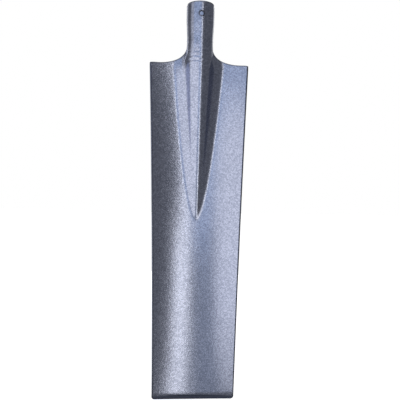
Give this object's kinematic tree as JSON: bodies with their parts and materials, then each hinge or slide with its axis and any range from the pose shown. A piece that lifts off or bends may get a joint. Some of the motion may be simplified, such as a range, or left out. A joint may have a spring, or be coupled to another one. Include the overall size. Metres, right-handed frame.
{
  "type": "trenching spade head",
  "caption": "Narrow trenching spade head: a dished blade whose tapering middle ridge runs up into a round handle socket, closed behind by a welded cover.",
  "frame": {"origin": "centre of the socket mouth", "axes": "+Z along the socket out of its mouth, -Z down the blade to the cutting edge, hollow front of the blade facing -Y"},
  "size_m": [0.1196, 0.0334, 0.475],
  "materials": {
    "painted_sheet": "blue-grey hammered enamel on pressed steel sheet",
    "painted_weld": "the same enamel over a rippled weld bead"
  },
  "bodies": {
    "root": {"blade": "painted_sheet", "socket_cover": "painted_sheet", "left_weld": "painted_weld", "right_weld": "painted_weld"}
  },
  "joints": []
}
